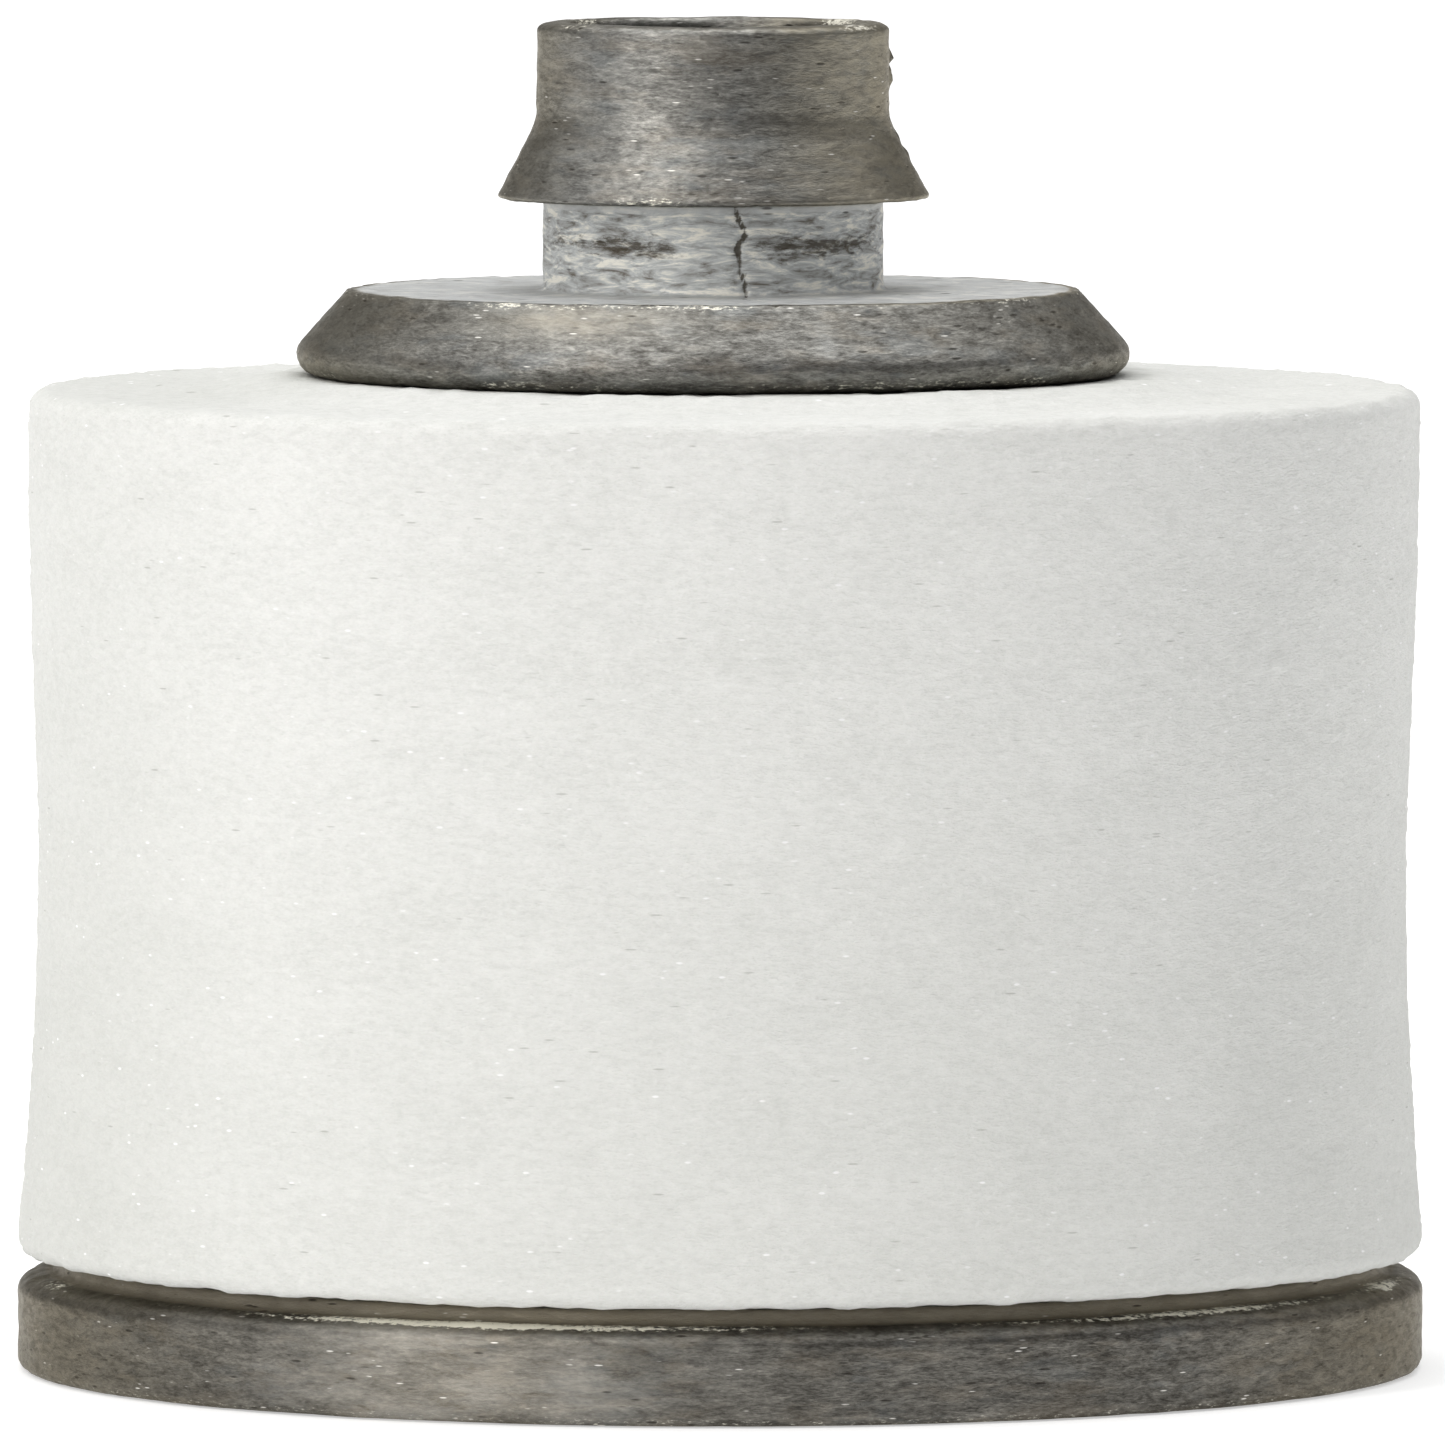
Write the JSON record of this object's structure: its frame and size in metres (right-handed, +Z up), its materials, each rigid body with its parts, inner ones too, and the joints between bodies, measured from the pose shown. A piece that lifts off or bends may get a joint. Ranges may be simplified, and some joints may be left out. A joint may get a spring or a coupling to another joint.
{
  "type": "pneumatic silencer",
  "caption": "Hose-barb pneumatic silencer: a thick white porous sleeve clamped between a dark die-cast barbed head with a conical flange and a flat die-cast base disc",
  "frame": {"origin": "centre of the base disc's underside, which is the bottom centre of the bounding box", "axes": "+Z runs up the axis, out of the hose barb's mouth; +X and +Y are across it, and the parting line is on the -Y side"},
  "size_m": [0.024, 0.024, 0.0229],
  "materials": {
    "zinc_casting": "dull dark grey as-cast zinc, mottled, with worn bright edges",
    "porous_white": "matt white porous plastic, fine grain",
    "dark_seal": "matt dark sheet seal",
    "red_seal": "matt red-brown fibre seal",
    "steel": "plated steel",
    "screen_wire": "fine stainless screen",
    "screw_steel": "zinc-plated steel",
    "spring_steel": "dark spring steel"
  },
  "bodies": {
    "root": {"barbed_head": "zinc_casting", "porous_sleeve": "porous_white", "base_disc": "zinc_casting", "head_gasket": "dark_seal", "base_gasket": "dark_seal", "foot_seal": "red_seal", "support_cage": "steel", "mesh_screen": "screen_wire", "tie_screw": "screw_steel", "lock_washer": "spring_steel", "flat_washer": "steel"}
  },
  "joints": []
}
